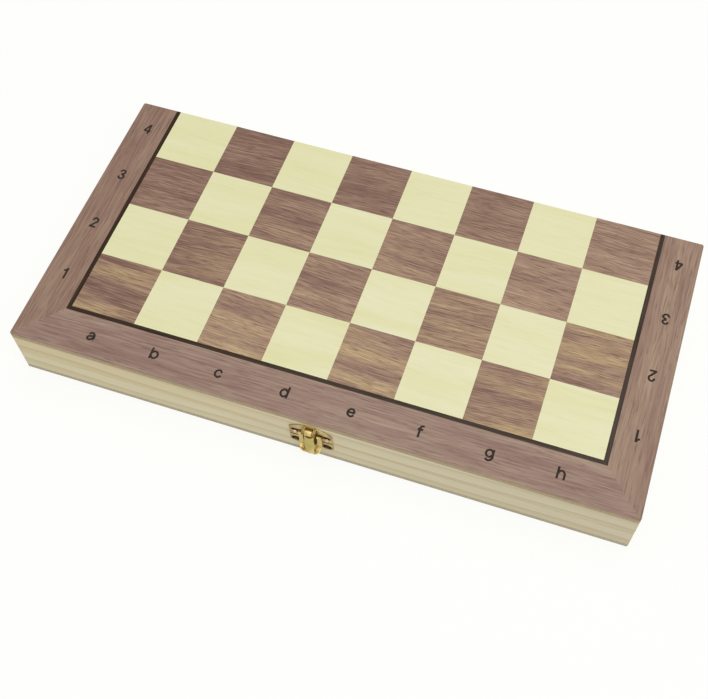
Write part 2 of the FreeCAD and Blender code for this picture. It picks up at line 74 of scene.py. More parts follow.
def addNode(tree, kind, settings=None, inputs=None):
    node = tree.nodes.new(kind)
    for name, setting in (settings or {}).items():
        if name == "stops":  # a colour ramp, as (place, hex colour) pairs
            elements = node.color_ramp.elements
            while len(elements) < len(setting):
                elements.new(1.0)
            for element, (place, hexColour) in zip(elements, setting):
                element.position = place
                element.color = linear(hexColour)
        else:
            setattr(node, name, setting)
    for key, value in (inputs or {}).items():
        if isinstance(value, bpy.types.NodeSocket):
            tree.links.new(value, node.inputs[key])
        else:
            node.inputs[key].default_value = value
    return node


def newMaterial(name):
    material = bpy.data.materials.new(name)
    material.use_nodes = True
    material.node_tree.nodes.clear()
    return material, material.node_tree


def dress(material, names):
    for name in names:
        mesh = nodes[name].data
        mesh.materials.clear()
        mesh.materials.append(material)


# Sliced veneer under matt lacquer: broad bands of tone along the grain, fine streaks, short dark pores.
# Every square is cut from another place of the leaf, so each has its own figure, slant and tone.
# Streaks and pores are drawn about twice as wide as real ones, so that they show at this distance.
def slicedVeneer(name, look):
    material, tree = newMaterial(name)
    texture = addNode(tree, "ShaderNodeTexCoord")
    coords = texture.outputs["Object"]
    corner = [value * mm for value in look["cellCorner"]]
    shifted = addNode(tree, "ShaderNodeVectorMath", {"operation": "SUBTRACT"},
                      {0: coords, 1: corner}).outputs[0]
    cells = addNode(tree, "ShaderNodeVectorMath", {"operation": "SCALE"},
                    {0: shifted, "Scale": 1 / (look["cell"] * mm)}).outputs[0]
    number = addNode(tree, "ShaderNodeVectorMath", {"operation": "FLOOR"}, {0: cells}).outputs[0]
    chance = addNode(tree, "ShaderNodeTexWhiteNoise", {"noise_dimensions": "3D"}, {"Vector": number})
    slant = addNode(tree, "ShaderNodeMapRange", inputs={
        "Value": chance.outputs["Value"], "To Min": math.radians(look["grainAngle"] - look["slant"]),
        "To Max": math.radians(look["grainAngle"] + look["slant"])}).outputs[0]
    along = addNode(tree, "ShaderNodeVectorRotate", {"rotation_type": "Z_AXIS"},
                    {"Vector": coords, "Angle": slant}).outputs[0]
    leafPlace = addNode(tree, "ShaderNodeVectorMath", {"operation": "SCALE"},
                        {0: chance.outputs["Color"], "Scale": look["leafSpread"]}).outputs[0]
    grain = addNode(tree, "ShaderNodeVectorMath", {"operation": "ADD"}, {0: along, 1: leafPlace}).outputs[0]

    # golden, strongly banded leaves lie mostly in the rows towards the latch, even purplish ones behind
    channels = addNode(tree, "ShaderNodeSeparateColor", inputs={0: chance.outputs["Color"]}).outputs
    row = addNode(tree, "ShaderNodeSeparateXYZ", inputs={0: number}).outputs["Y"]
    frontFigure, rowFall, leafFigure = look["figure"]
    rowFigure = addNode(tree, "ShaderNodeMath", {"operation": "MULTIPLY_ADD"},
                        {0: row, 1: -rowFall, 2: frontFigure}).outputs[0]
    figure = addNode(tree, "ShaderNodeMath", {"operation": "MULTIPLY_ADD"},
                     {0: channels["Green"], 1: leafFigure, 2: rowFigure}).outputs[0]
    bandShare = addNode(tree, "ShaderNodeMapRange", inputs={
        "Value": figure, "From Min": look["bandFrom"],
        "To Min": look["bandShare"][0], "To Max": look["bandShare"][1]}).outputs[0]
    warmShare = addNode(tree, "ShaderNodeMapRange", inputs={
        "Value": figure, "From Min": look["warmFrom"][0], "From Max": look["warmFrom"][1],
        "To Max": look["warmDepth"]}).outputs[0]
    wanderReach = addNode(tree, "ShaderNodeMapRange", inputs={
        "Value": channels["Blue"], "To Min": look["wanderReach"][0] * mm,
        "To Max": look["wanderReach"][1] * mm}).outputs[0]

    # the fibres wander to and fro across the leaf
    wander = addNode(tree, "ShaderNodeVectorMath", {"operation": "MULTIPLY"},
                     {0: grain, 1: [1 / (size * mm) for size in look["wanderSize"]]}).outputs[0]
    swing = addNode(tree, "ShaderNodeTexNoise", inputs={
        "Vector": wander, "Scale": 1.0, "Detail": 2.0}).outputs[0]
    swingCentred = addNode(tree, "ShaderNodeMath", {"operation": "SUBTRACT"}, {0: swing, 1: 0.5}).outputs[0]
    sway = addNode(tree, "ShaderNodeMath", {"operation": "MULTIPLY"},
                   {0: swingCentred, 1: wanderReach}).outputs[0]
    swayVector = addNode(tree, "ShaderNodeCombineXYZ", inputs={"Y": sway}).outputs[0]
    fibre = addNode(tree, "ShaderNodeVectorMath", {"operation": "ADD"}, {0: grain, 1: swayVector}).outputs[0]

    layers = {}
    for layer in ("band", "streak", "pore"):
        length, width = look[layer]
        stretched = addNode(tree, "ShaderNodeVectorMath", {"operation": "MULTIPLY"},
                            {0: fibre, 1: [1 / (size * mm) for size in (length, width, width)]}).outputs[0]
        layers[layer] = addNode(tree, "ShaderNodeTexNoise", inputs={
            "Vector": stretched, "Scale": 1.0, "Detail": 2.0, "Roughness": 0.55}).outputs[0]

    # place on the ramp of tones: middle, bands, streaks, the square's own tone, and a slow drift over the board
    # that is painted light, mostly brighter towards the right and the front
    drift = addNode(tree, "ShaderNodeVectorMath", {"operation": "DOT_PRODUCT"},
                    {0: coords, 1: look["drift"]}).outputs["Value"]
    shade = addNode(tree, "ShaderNodeMath", {"operation": "ADD"}, {0: drift, 1: 0.5}).outputs[0]
    parts = [(layers["band"], bandShare), (layers["streak"], look["streakShare"]),
             (chance.outputs["Value"], look["leafTone"])]
    for part, weight in parts:
        centred = addNode(tree, "ShaderNodeMath", {"operation": "SUBTRACT"}, {0: part, 1: 0.5}).outputs[0]
        shade = addNode(tree, "ShaderNodeMath", {"operation": "MULTIPLY_ADD"},
                        {0: centred, 1: weight, 2: shade}).outputs[0]
    wood = addNode(tree, "ShaderNodeValToRGB", {"stops": look["tones"]}, {"Fac": shade}).outputs[0]
    warmMask = addNode(tree, "ShaderNodeMapRange", inputs={
        "Value": layers["band"], "From Min": look["warmBand"][0], "From Max": look["warmBand"][1],
        "To Max": warmShare}).outputs[0]
    zoned = addNode(tree, "ShaderNodeMix", {"data_type": "RGBA", "blend_type": "MULTIPLY"},
                    {0: warmMask, 6: wood, 7: linear(look["warm"])}).outputs[2]
    poreMask = addNode(tree, "ShaderNodeMapRange", inputs={
        "Value": layers["pore"], "From Min": look["poreFrom"][0], "From Max": look["poreFrom"][1],
        "To Max": look["poreDepth"]}).outputs[0]
    pored = addNode(tree, "ShaderNodeMix", {"data_type": "RGBA"},
                    {0: poreMask, 6: zoned, 7: linear(look["poreColour"])}).outputs[2]
    # the thin cut edge of the leaf, sanded together with the board under it
    facing = addNode(tree, "ShaderNodeSeparateXYZ", inputs={0: texture.outputs["Normal"]}).outputs["Z"]
    upright = addNode(tree, "ShaderNodeMath", {"operation": "ABSOLUTE"}, {0: facing}).outputs[0]
    edgeMask = addNode(tree, "ShaderNodeMath", {"operation": "LESS_THAN"}, {0: upright, 1: 0.5}).outputs[0]
    colour = addNode(tree, "ShaderNodeMix", {"data_type": "RGBA"},
                     {0: edgeMask, 6: pored, 7: linear(look["edgeColour"])}).outputs[2]
    gloss = addNode(tree, "ShaderNodeMapRange", inputs={
        "Value": layers["streak"], "To Min": look["roughness"][0], "To Max": look["roughness"][1]}).outputs[0]
    relief = addNode(tree, "ShaderNodeBump", inputs={
        "Height": layers["streak"], "Strength": look["relief"], "Distance": look["reliefDepth"] * mm}).outputs[0]
    shader = addNode(tree, "ShaderNodeBsdfPrincipled", inputs={
        "Base Color": colour, "Roughness": gloss, "Normal": relief, "IOR": look["ior"],
        "Specular IOR Level": look["sheen"]})
    addNode(tree, "ShaderNodeOutputMaterial", inputs={"Surface": shader.outputs[0]})
    return material


# Sizes in millimetres, as (along the grain, across it); drift is the change of tone per metre over the board:
# painted light, mostly brighter towards the right and the front
leafOrder = 6  # another number deals out other leaves of veneer to the squares
walnutSquareLook = {
    "grainAngle": 0, "slant": 4, "cell": square / mm,
    "cellCorner": (0, chessField[0].y / mm, -1 - leafOrder * square / mm),
    "leafSpread": 3.0, "leafTone": 0.10, "wanderSize": (15, 6, 6), "wanderReach": (0.3, 2.8),
    "band": (70, 6.5), "streak": (14, 0.52), "pore": (6, 0.4), "bandShare": (0.3, 1.0), "streakShare": 0.85,
    "figure": (0.6, 0.25, 0.5),  # in the row by the latch, its fall from row to row, and the leaf's own part
    "bandFrom": 0.1, "warmFrom": (0.4, 0.85), "warmBand": (0.42, 0.62), "poreFrom": (0.46, 0.32),
    "drift": (0.5, -1.0, 0), "ior": 1.5, "reliefDepth": 0.05,
    "tones": [(0.20, "#6a4c40"), (0.40, "#886a5b"), (0.60, "#a68974"), (0.84, "#c6ab89")],
    "warm": "#fbfde6", "warmDepth": 0.85, "edgeColour": "#ab9578",
    "poreColour": "#5f463a", "poreDepth": 0.7, "roughness": (0.45, 0.6), "relief": 0.25, "sheen": 0.22,
}
walnutBorderLook = {
    **walnutSquareLook, "slant": 0, "leafTone": 0.0,
    "cell": 2000.0, "cellCorner": (-1000, -1000, -1000),  # one leaf over the whole board
    "wanderSize": (60, 14, 14), "wanderReach": (2.4, 2.4),
    "band": (120, 7), "streak": (22, 0.9), "pore": (8, 0.7), "bandShare": (0.45, 0.45), "streakShare": 0.7,
    "drift": (0.03, 0, 0),
    "tones": [(0.20, "#75594f"), (0.42, "#907468"), (0.60, "#a08879"), (0.84, "#b8a18e")],
    "warmDepth": 0.3, "poreColour": "#6b5248", "poreDepth": 0.5,
}
walnutSideLook = {
    **walnutBorderLook, "grainAngle": 90, "streakShare": 0.65, "drift": (0.4, -0.25, 0),
    "tones": [(0.20, "#72564a"), (0.42, "#8d7061"), (0.60, "#9d8371"), (0.84, "#b49b85")],
}
mapleSquareLook = {
    **walnutSquareLook, "leafTone": 0.05,
    "band": (80, 10), "streak": (40, 2.2), "pore": (14, 1.2), "bandShare": (0.5, 0.9), "streakShare": 0.4,
    "drift": (0.4, -0.4, 0), "wanderReach": (2.6, 2.6), "warmDepth": 0.0, "edgeColour": "#d5caa0",
    "tones": [(0.20, "#ddd9a4"), (0.45, "#e2dfb1"), (0.60, "#e5e2b9"), (0.85, "#e9e6c2")],
    "poreColour": "#d9d4a2", "poreDepth": 0.3, "relief": 0.12,
}
blackLineLook = {
    **walnutBorderLook, "drift": (1.1, 0, 0), "sheen": 0.08, "warmDepth": 0.0, "edgeColour": "#30241a",
    "tones": [(0.2, "#291c12"), (0.35, "#34261a"), (0.5, "#3d3026"), (0.65, "#463b33"), (0.85, "#50463d")],
    "poreColour": "#20160e", "poreDepth": 0.35,
}
birchLiningLook = {
    **walnutBorderLook, "edgeColour": "#cdb78d",
    "tones": [(0.2, "#cbb48a"), (0.45, "#d8c49c"), (0.62, "#dfcda8"), (0.85, "#e6d7b6")],
    "poreColour": "#c2a87c", "poreDepth": 0.4,
}
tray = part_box("upper_lining")
pointWidth = (tray[1].y - tray[0].y) / 6  # six points side by side
walnutPointLook = {
    **walnutSquareLook, "cell": pointWidth / mm, "cellCorner": (0, tray[0].y / mm, -1),
    "tones": [(0.22, "#4a3028"), (0.42, "#5d3f33"), (0.58, "#6b4a3b"), (0.80, "#7d5a45")],
    "poreColour": "#3a2620", "edgeColour": "#5d3f33",
}
cherryPointLook = {
    **walnutPointLook,
    "tones": [(0.22, "#97603c"), (0.42, "#a86d45"), (0.58, "#b57a50"), (0.80, "#c48a5e")],
    "poreColour": "#85512f", "poreDepth": 0.35, "edgeColour": "#a86d45",
}
dress(slicedVeneer("walnutVeneerSquares", walnutSquareLook), [f"{half}_dark_squares" for half in halves])
dress(slicedVeneer("mapleVeneerSquares", mapleSquareLook), [f"{half}_light_squares" for half in halves])
for strip in ("front", "left", "right"):
    borderLook = walnutBorderLook if strip == "front" else walnutSideLook
    lineLook = {**blackLineLook, "grainAngle": borderLook["grainAngle"]}
    dress(slicedVeneer(f"walnutVeneerBorder_{strip}", borderLook),
          [f"{half}_border_{strip}" for half in halves])
    dress(slicedVeneer(f"dyedVeneerLine_{strip}", lineLook), [f"{half}_line_{strip}" for half in halves])
dress(slicedVeneer("birchVeneerLining", birchLiningLook), [f"{half}_lining" for half in halves])
dress(slicedVeneer("walnutVeneerPoints", walnutPointLook), [f"{half}_dark_points" for half in halves])
dress(slicedVeneer("cherryVeneerPoints", cherryPointLook), [f"{half}_light_points" for half in halves])
print("veneers done")


# Planed pine under clear lacquer: pale early wood with thin, darker late-wood rings that run out along
# the rail, and a warmer, denser look where the rail's end is cut across the fibres.
def planedPine(name, look):
    material, tree = newMaterial(name)
    texture = addNode(tree, "ShaderNodeTexCoord")
    coords = texture.outputs["Object"]
    turn = (0, 0, math.radians(look["grainAngle"]))
    along = addNode(tree, "ShaderNodeMapping", inputs={"Vector": coords, "Rotation": turn}).outputs[0]
    bend = addNode(tree, "ShaderNodeVectorMath", {"operation": "MULTIPLY"},
                   {0: along, 1: [1 / (size * mm) for size in look["bendSize"]]}).outputs[0]
    drift = addNode(tree, "ShaderNodeTexNoise", inputs={
        "Vector": bend, "Scale": 1.0, "Detail": 1.0}).outputs["Color"]
    driftScaled = addNode(tree, "ShaderNodeVectorMath", {"operation": "SCALE"},
                          {0: drift, "Scale": look["bendReach"] * mm}).outputs[0]
    bent = addNode(tree, "ShaderNodeVectorMath", {"operation": "ADD"}, {0: along, 1: driftScaled}).outputs[0]
    centred = addNode(tree, "ShaderNodeVectorMath", {"operation": "SUBTRACT"},
                      {0: bent, 1: [value * mm for value in look["pith"]]}).outputs[0]
    crossed = addNode(tree, "ShaderNodeVectorMath", {"operation": "MULTIPLY"},
                      {0: centred, 1: (0, 1, 1)}).outputs[0]
    radius = addNode(tree, "ShaderNodeVectorMath", {"operation": "LENGTH"}, {0: crossed}).outputs["Value"]
    rings = addNode(tree, "ShaderNodeMath", {"operation": "DIVIDE"},
                    {0: radius, 1: look["ring"] * mm}).outputs[0]
    year = addNode(tree, "ShaderNodeMath", {"operation": "FRACT"}, {0: rings}).outputs[0]
    growth = addNode(tree, "ShaderNodeValToRGB", {"stops": look["tones"]}, {"Fac": year}).outputs[0]
    fibrePoint = addNode(tree, "ShaderNodeVectorMath", {"operation": "MULTIPLY"},
                         {0: along, 1: [1 / (size * mm) for size in look["fibre"]]}).outputs[0]
    fibre = addNode(tree, "ShaderNodeTexNoise", inputs={
        "Vector": fibrePoint, "Scale": 1.0, "Detail": 4.0}).outputs[0]
    fibreShade = addNode(tree, "ShaderNodeMapRange", inputs={
        "Value": fibre, "From Min": look["fibreFrom"][0], "From Max": look["fibreFrom"][1],
        "To Max": look["fibreDepth"]}).outputs[0]
    long = addNode(tree, "ShaderNodeMix", {"data_type": "RGBA"},
                   {0: fibreShade, 6: growth, 7: linear(look["fibreColour"])}).outputs[2]
    facingTurned = addNode(tree, "ShaderNodeMapping", {"vector_type": "VECTOR"},
                           {"Vector": texture.outputs["Normal"], "Rotation": turn}).outputs[0]
    endward = addNode(tree, "ShaderNodeSeparateXYZ", inputs={"Vector": facingTurned}).outputs["X"]
    endShare = addNode(tree, "ShaderNodeMath", {"operation": "ABSOLUTE"}, {0: endward}).outputs[0]
    endMask = addNode(tree, "ShaderNodeMath", {"operation": "MULTIPLY"},
                      {0: endShare, 1: look["endDepth"]}).outputs[0]
    cut = addNode(tree, "ShaderNodeMix", {"data_type": "RGBA", "blend_type": "MULTIPLY"},
                  {0: endMask, 6: long, 7: linear(look["endColour"])}).outputs[2]
    # the plank is yellower towards its left end and greyer towards its right end
    place = addNode(tree, "ShaderNodeSeparateXYZ", inputs={0: coords}).outputs["X"]
    plankShare = addNode(tree, "ShaderNodeMapRange", inputs={
        "Value": place, "From Min": cadBox[0].x, "From Max": cadBox[1].x}).outputs[0]
    plank = addNode(tree, "ShaderNodeValToRGB", {"stops": look["plank"]}, {"Fac": plankShare}).outputs[0]
    colour = addNode(tree, "ShaderNodeMix", {"data_type": "RGBA", "blend_type": "MULTIPLY"},
                     {0: 1.0, 6: cut, 7: plank}).outputs[2]
    relief = addNode(tree, "ShaderNodeBump", inputs={
        "Height": fibre, "Strength": look["relief"], "Distance": look["reliefDepth"] * mm}).outputs[0]
    shader = addNode(tree, "ShaderNodeBsdfPrincipled", inputs={
        "Base Color": colour, "Roughness": look["roughness"], "Normal": relief, "IOR": look["ior"]})
    addNode(tree, "ShaderNodeOutputMaterial", inputs={"Surface": shader.outputs[0]})
    return material


pineLook = {
    "grainAngle": 0, "bendSize": (170, 45, 45), "bendReach": 12.0, "pith": (0, -34, -26), "ring": 7.5,
    "tones": [(0.0, "#e4dab9"), (0.55, "#e1d6b2"), (0.84, "#d7c8a0"), (0.95, "#d0bf95"), (1.0, "#e3d8b6")],
    "fibre": (40, 0.9, 0.9), "fibreColour": "#d4c6a0", "fibreDepth": 0.4, "fibreFrom": (0.3, 0.7),
    "plank": [(0.0, "#f3ece0"), (0.25, "#f7f4ec"), (0.55, "#f5f4f4"), (1.0, "#ececf0")],
    "endColour": "#f3e6c6", "endDepth": 0.8, "roughness": 0.52, "ior": 1.48, "relief": 0.2, "reliefDepth": 0.08,
}
lowerPineLook = {
    **pineLook, "plank": [(0.0, "#f6f6f0"), (0.25, "#fafbfb"), (0.55, "#f5f4f4"), (1.0, "#eeeef2")],
}
for half, plankLook in (("upper", pineLook), ("lower", lowerPineLook)):
    longPine = planedPine(f"planedPineLong_{half}", plankLook)
    dress(longPine, [f"{half}_{side}_rail" for side in ("front", "back")])
endPine = planedPine("planedPineEnds", {**pineLook, "grainAngle": 90, "pith": (0, 90, -30)})
dress(endPine, [f"{half}_{side}_rail" for half in halves for side in ("left", "right")])


# Medium fibreboard, sawn at its edges: an even brown felt of short fibres with paler and darker flecks. The lower
# board is painted paler and greyer: painted light, for the bounce from the pale floor.
fibreboardLook = {
    "dark": (0.3, "#99866a"), "pale": (0.7, "#c0ac8a"), "fleck": 0.7, "roughness": 0.8,
    "relief": 0.4, "reliefDepth": 0.1,
}
# a paler, greyer copy of the same board for the lower panel: painted bounce light
bounceLitBoardLook = {**fibreboardLook, "dark": (0.3, "#a49a82"), "pale": (0.7, "#cbc0a4")}


def sawnFibreboard(name, look):
    material, tree = newMaterial(name)
    coords = addNode(tree, "ShaderNodeTexCoord").outputs["Object"]
    flecks = addNode(tree, "ShaderNodeTexNoise", inputs={
        "Vector": coords, "Scale": 1 / (look["fleck"] * mm), "Detail": 4.0, "Roughness": 0.7}).outputs[0]
    colour = addNode(tree, "ShaderNodeValToRGB",
                     {"stops": [look["dark"], look["pale"]]}, {"Fac": flecks}).outputs[0]
    relief = addNode(tree, "ShaderNodeBump", inputs={
        "Height": flecks, "Strength": look["relief"], "Distance": look["reliefDepth"] * mm}).outputs[0]
    shader = addNode(tree, "ShaderNodeBsdfPrincipled", inputs={
        "Base Color": colour, "Roughness": look["roughness"], "Normal": relief})
    addNode(tree, "ShaderNodeOutputMaterial", inputs={"Surface": shader.outputs[0]})
    return material


dress(sawnFibreboard("sawnFibreboard", fibreboardLook), ["upper_panel"])
dress(sawnFibreboard("sawnFibreboardBounceLit", bounceLitBoardLook), ["lower_panel"])
print("rails and panels done")

mergeGap = 0.002 * mm
bodyOf = {name: body for body, names in frame["record"]["behaviour"]["bodies"].items() for name in names}


# A copy of a solid's mesh, left open in edit mode, that stands for the solid
def mergedCopy(name, finish):
    piece = bpy.data.objects.new(f"{name}_{finish}", nodes[name].data.copy())
    bpy.context.scene.collection.objects.link(piece)
    bpy.ops.object.select_all(action="DESELECT")
    piece.select_set(True)
    bpy.context.view_layer.objects.active = piece
    bpy.ops.object.mode_set(mode="EDIT")
    bpy.ops.mesh.select_all(action="SELECT")
    bpy.ops.mesh.remove_doubles(threshold=mergeGap)
    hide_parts(name)
    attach(piece, bodyOf[name])
    return piece


# The box's four upright corners, sanded round after glueing: rails, boards and veneers are cut together, by
# planes at these angles in degrees, from the middle of the round outwards
cornerLook = {"radius": 1.2 * mm, "cuts": (45, 22, 68, 11, 34, 56, 79), "threshold": 0.0001 * mm}


def easedCorners(name):
    radius = cornerLook["radius"]
    low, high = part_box("upper_panel")
    mergedCopy(name, "eased")
    for sideX, faceX in ((-1, low.x), (1, high.x)):
        for sideY, faceY in ((-1, low.y), (1, high.y)):
            centre = (faceX - sideX * radius, faceY - sideY * radius)
            for angle in map(math.radians, cornerLook["cuts"]):
                normal = (sideX * math.cos(angle), sideY * math.sin(angle), 0)
                touch = [middle + radius * part for middle, part in zip(centre, normal)]
                bpy.ops.mesh.select_all(action="SELECT")
                bpy.ops.mesh.bisect(plane_co=(*touch, 0), plane_no=normal, use_fill=True, clear_outer=True,
                                    threshold=cornerLook["threshold"])
    bpy.ops.mesh.select_all(action="SELECT")
    bpy.ops.mesh.normals_make_consistent(inside=False)
    bpy.ops.object.mode_set(mode="OBJECT")
    bpy.ops.object.shade_flat()


for half in halves:
    for corner in ("panel", "border_front", "border_left", "border_right", "front_rail", "back_rail"):
        easedCorners(f"{half}_{corner}")
print("corners done")


# Stamped brass with a clear lacquer: warm mirror-like metal, slightly rippled by the press tool, with duller,
# browner patches, and dark tarnish with painted shade in its dimples and folds, the darker the more they are
# enclosed.
# Spots are soft ovals, mostly painted shadow and painted light, the same on the left and the right of the latch,
# as (across, up, half width, half height) in metres, colour and depth.
def stampedBrass(name, look):
    material, tree = newMaterial(name)
    coords = addNode(tree, "ShaderNodeTexCoord").outputs["Object"]
    patches = addNode(tree, "ShaderNodeTexNoise", inputs={
        "Vector": coords, "Scale": 1 / (look["patch"] * mm), "Detail": 3.0}).outputs[0]
    ripples = addNode(tree, "ShaderNodeTexNoise", inputs={
        "Vector": coords, "Scale": 1 / (look["ripple"] * mm), "Detail": 1.0}).outputs[0]
    metal = addNode(tree, "ShaderNodeValToRGB",
                    {"stops": list(zip(look["patchTones"], (look["dull"], look["bright"])))},
                    {"Fac": patches}).outputs[0]
    # tarnish and painted shade: darker the more the piece's own folds enclose a point
    openness = addNode(tree, "ShaderNodeAmbientOcclusion", {"only_local": True, "samples": 16},
                       {"Distance": look["crevice"] * mm}).outputs["AO"]
    tarnishAndShade = addNode(tree, "ShaderNodeMapRange", inputs={
        "Value": openness, "From Min": look["open"][1], "From Max": look["open"][0],
        "To Max": look["tarnishAndShadeDepth"]}).outputs[0]
    colour = addNode(tree, "ShaderNodeMix", {"data_type": "RGBA"},
                     {0: tarnishAndShade, 6: metal, 7: linear(look["tarnishAndShade"])}).outputs[2]
    covered = tarnishAndShade  # tarnish with painted shade, and the spots, are dull films, not metal
    mirrored = addNode(tree, "ShaderNodeVectorMath", {"operation": "ABSOLUTE"}, {0: coords}).outputs[0]
    # each spot lays its colour on as a dull film; most are painted shadow or painted light
    for (across, up, halfWidth, halfHeight), spotColour, depth in look["filmsAndPaintedLight"]:
        offset = addNode(tree, "ShaderNodeVectorMath", {"operation": "SUBTRACT"},
                         {0: mirrored, 1: (across, 0, up)}).outputs[0]
        oval = addNode(tree, "ShaderNodeVectorMath", {"operation": "MULTIPLY"},
                       {0: offset, 1: (1 / halfWidth, 0, 1 / halfHeight)}).outputs[0]
        reach = addNode(tree, "ShaderNodeVectorMath", {"operation": "LENGTH"}, {0: oval}).outputs["Value"]
        spotShare = addNode(tree, "ShaderNodeMapRange", inputs={
            "Value": reach, "From Min": look["spotEdge"][1], "From Max": look["spotEdge"][0],
            "To Max": depth}).outputs[0]
        colour = addNode(tree, "ShaderNodeMix", {"data_type": "RGBA"},
                         {0: spotShare, 6: colour, 7: linear(spotColour)}).outputs[2]
        covered = addNode(tree, "ShaderNodeMath", {"operation": "MAXIMUM"}, {0: covered, 1: spotShare}).outputs[0]
    bare = addNode(tree, "ShaderNodeMath", {"operation": "MULTIPLY_ADD"},
                   {0: covered, 1: -1.0, 2: 1.0}).outputs[0]
    gloss = addNode(tree, "ShaderNodeMapRange", inputs={
        "Value": patches, "From Min": look["patchGloss"][0], "From Max": look["patchGloss"][1],
        "To Min": look["roughness"][1], "To Max": look["roughness"][0]}).outputs[0]
    relief = addNode(tree, "ShaderNodeBump", inputs={
        "Height": ripples, "Strength": look["relief"], "Distance": look["reliefDepth"] * mm}).outputs[0]
    # the films are matt, so what isn't metal has no shine
    shader = addNode(tree, "ShaderNodeBsdfPrincipled", inputs={
        "Base Color": colour, "Metallic": bare, "Roughness": gloss, "Normal": relief,
        "Specular IOR Level": 0.0})
    addNode(tree, "ShaderNodeOutputMaterial", inputs={"Surface": shader.outputs[0]})
    return material


latchBrassLook = {
    "bright": "#dac688", "dull": "#b89e5e", "tarnishAndShade": "#6f5020", "patch": 3.0, "ripple": 1.2,
    "patchTones": (0.35, 0.65), "patchGloss": (0.3, 0.7), "roughness": (0.3, 0.48),
    "crevice": 2.5, "open": (0.62, 0.92), "tarnishAndShadeDepth": 0.96, "filmsAndPaintedLight": [], "spotEdge": (0.7, 1.2),
    "relief": 0.3, "reliefDepth": 0.06,
}
latchAxis = next(joint["pos_m"] for joint in frame["joints"] if joint["name"] == "latch_swing")


def latchSpot(across, rise, halfWidth, halfHeight):  # millimetres, height from the latch axis
    return across * mm, latchAxis[2] + rise * mm, halfWidth * mm, halfHeight * mm


def nailSpot(nails, rise, halfWidth, halfHeight):  # in radii of the nail's dome
    low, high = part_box(nails)
    radius = (high.z - low.z) / 2
    return high.x - radius, (high.z + low.z) / 2 + rise * radius, halfWidth * radius, halfHeight * radius


tongueBrassLook = {**latchBrassLook, "open": (0.4, 0.75), "filmsAndPaintedLight": [
    (latchSpot(0, -8.4, 2.5, 6.6), "#c4b66e", 0.8),  # dulled bill
    (latchSpot(4.3, -8.6, 1.3, 5.0), "#e2ca8e", 0.85),  # flanges lightened: painted light
    (latchSpot(0, -2.9, 1.8, 0.9), "#4e340a", 0.95),  # painted shadow under the barrel
    (latchSpot(2.8, -6.4, 0.6, 4.8), "#4c3206", 0.98),  # painted shade along the bill's flank
]}
latchPlateLook = {
    **latchBrassLook, "bright": "#c4b17c", "dull": "#a28a56", "crevice": 0.8, "open": (0.4, 0.85), "filmsAndPaintedLight": [
        (nailSpot("latch_nails", 1.9, 2.0, 1.3), "#3a260a", 1.0),  # painted shadow in the dimples over the nails
        (latchSpot(2.5, 0, 0.7, 2.0), "#7d6128", 0.85),  # painted shade on the sides of the ears
        (latchSpot(0, 1.2, 2.3, 1.1), "#c09a56", 0.9),  # painted light on the plate behind the barrel, where it lies in shade
        (latchSpot(4.3, -3.5, 1.9, 0.75), "#3a260a", 0.9),  # painted shadow at the foot of the ears
    ],
}
# painted shadow of the tongue around the catch nails
catchPlateLook = {**latchPlateLook, "filmsAndPaintedLight": [(nailSpot("catch_nails", 0.2, 2.3, 1.9), "#271806", 1.0)]}
nailBrassLook = {**latchBrassLook, "bright": "#dcc7a6", "dull": "#b79c78", "patch": 1.2, "tarnishAndShadeDepth": 0.5}
# the catch nails are darkened all over: painted shadow of the tongue
darkNailLook = {**nailBrassLook, "bright": "#5e4526", "dull": "#2c1c0c"}
hingeBrassLook = {**latchBrassLook, "bright": "#d6b96c", "dull": "#ad8b45", "roughness": (0.26, 0.42)}
screwBrassLook = {**hingeBrassLook, "bright": "#cfb574", "patch": 1.0, "tarnishAndShadeDepth": 0.9}
tongueBrass = stampedBrass("pressedBrassTongue", tongueBrassLook)
latchPlateBrass = stampedBrass("stampedBrassLatchPlate", latchPlateLook)
catchPlateBrass = stampedBrass("stampedBrassCatchPlate", catchPlateLook)
nailBrass = stampedBrass("stampedBrassNails", nailBrassLook)
darkNailBrass = stampedBrass("paintedShadeBrassNails", darkNailLook)
hingeBrass = stampedBrass("rolledBrassHinges", hingeBrassLook)
screwBrass = stampedBrass("platedScrews", screwBrassLook)


# A stamped piece keeps the solid's shape, with the edges that the tool and handling have rounded
stampedEdge = {
    "plate": 0.08 * mm, "leaf": 0.15 * mm, "screw": 0.06 * mm, "nail": 0, "segments": 3,
    "flat": math.radians(1), "sharp": math.radians(40),
}


def stampedPiece(name, material, edge):
    piece = mergedCopy(name, "stamped")
    bpy.ops.mesh.dissolve_limited(angle_limit=stampedEdge["flat"])
    bpy.ops.object.mode_set(mode="OBJECT")
    if stampedEdge[edge]:
        rounding = piece.modifiers.new("roundedEdges", "BEVEL")
        rounding.width = stampedEdge[edge]
        rounding.segments = stampedEdge["segments"]
        rounding.limit_method = "ANGLE"
        rounding.angle_limit = stampedEdge["sharp"]
        rounding.use_clamp_overlap = False
        bpy.ops.object.modifier_apply(modifier=rounding.name)
    bpy.ops.object.shade_smooth_by_angle(angle=stampedEdge["sharp"])
    piece.data.materials.clear()
    piece.data.materials.append(material)


stampedPiece("latch_plate", latchPlateBrass, "plate")
stampedPiece("catch_plate", catchPlateBrass, "plate")
stampedPiece("latch_nails", nailBrass, "nail")
stampedPiece("catch_nails", darkNailBrass, "nail")
for name in nodes:
    if name.endswith("_leaf"):
        stampedPiece(name, hingeBrass, "leaf")
    elif name.endswith("_screws"):
        stampedPiece(name, screwBrass, "screw")
dress(hingeBrass, [name for name in nodes if name.endswith("_pin")])
print("plates, hinges and nails done")

